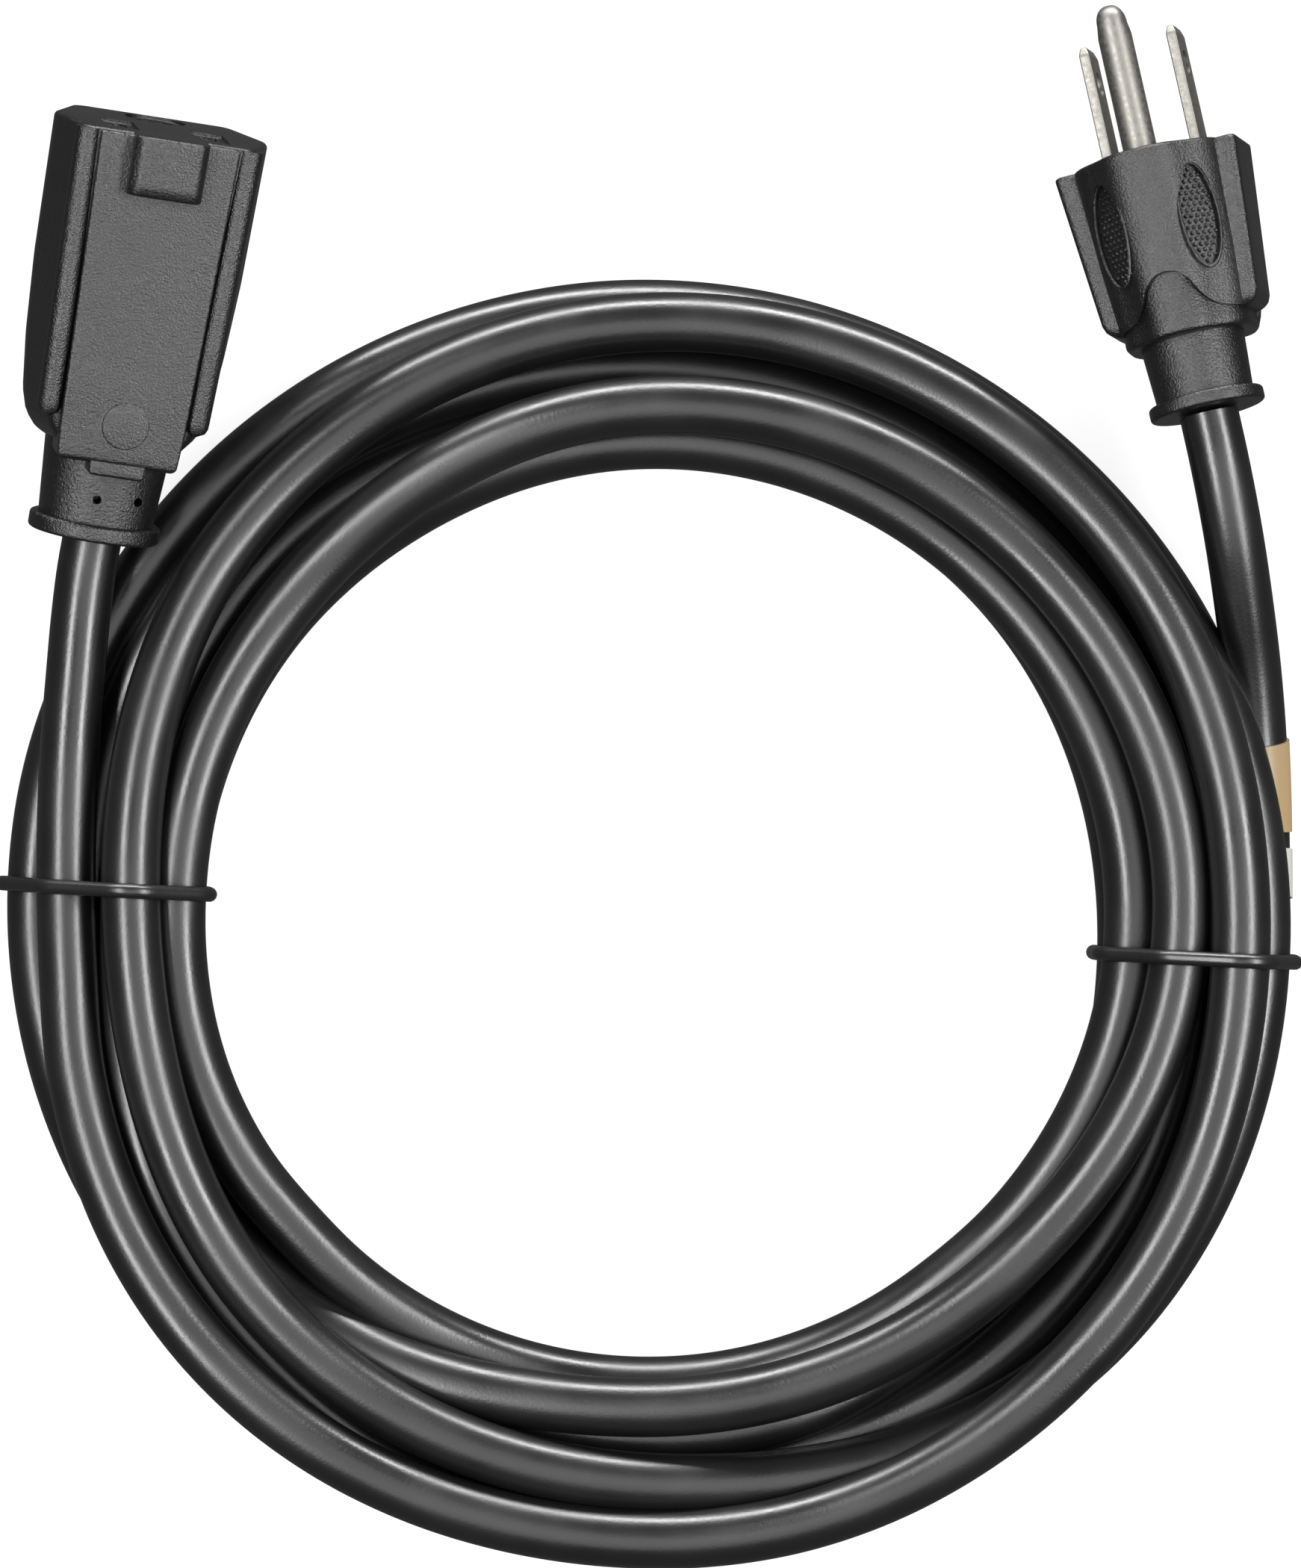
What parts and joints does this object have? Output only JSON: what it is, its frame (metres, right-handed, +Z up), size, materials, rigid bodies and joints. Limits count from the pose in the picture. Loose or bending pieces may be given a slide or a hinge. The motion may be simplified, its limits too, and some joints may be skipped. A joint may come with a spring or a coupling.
{
  "type": "extension cord",
  "caption": "Coiled grounded extension cord: black round cord with a moulded three-pin plug and a moulded three-hole connector, wound flat and held by two wire ties.",
  "frame": {"origin": "on the surface that the cord lies on, under the middle of the box round the plug and the connector; the middle of the coil is at x 0.4 mm, y -90.2 mm", "axes": "+Z up from that surface; +Y from the coil towards the plug's and connector's noses; +X from the connector's side to the plug's side"},
  "size_m": [0.181, 0.2176, 0.0374],
  "materials": {
    "cord_jacket": "satin extruded PVC, fine orange-peel",
    "moulded_body": "spark-textured moulded PVC",
    "tie_coating": "satin PVC coating over wire",
    "inner_nylon": "natural nylon, matte",
    "nickel_plate": "satin nickel plate over brass",
    "contact_brass": "stamped, bright",
    "copper_wire": "bare stranded copper",
    "black_insulation": "satin",
    "white_insulation": "satin",
    "green_insulation": "satin",
    "tan_label": "printed film, blank",
    "white_label": "printed film, blank"
  },
  "bodies": {
    "root": {"cord_coil": "cord_jacket", "connector_lead": "cord_jacket", "plug_lead": "cord_jacket", "left_tie": "tie_coating", "right_tie": "tie_coating", "cord_label_sleeve": "tan_label", "cord_flag_tag": "white_label", "connector_overmould": "moulded_body", "connector_contact_carrier": "inner_nylon", "connector_line_contact": "contact_brass", "connector_neutral_contact": "contact_brass", "connector_ground_contact": "contact_brass", "connector_line_core": "black_insulation", "connector_line_copper": "copper_wire", "connector_neutral_core": "white_insulation", "connector_neutral_copper": "copper_wire", "connector_ground_core": "green_insulation", "connector_ground_copper": "copper_wire", "connector_jacket_end": "cord_jacket", "plug_overmould": "moulded_body", "plug_inner_bridge": "inner_nylon", "plug_line_blade": "nickel_plate", "plug_neutral_blade": "nickel_plate", "plug_ground_pin": "nickel_plate", "plug_line_core": "black_insulation", "plug_line_copper": "copper_wire", "plug_neutral_core": "white_insulation", "plug_neutral_copper": "copper_wire", "plug_ground_core": "green_insulation", "plug_ground_copper": "copper_wire", "plug_jacket_end": "cord_jacket"}
  },
  "joints": []
}
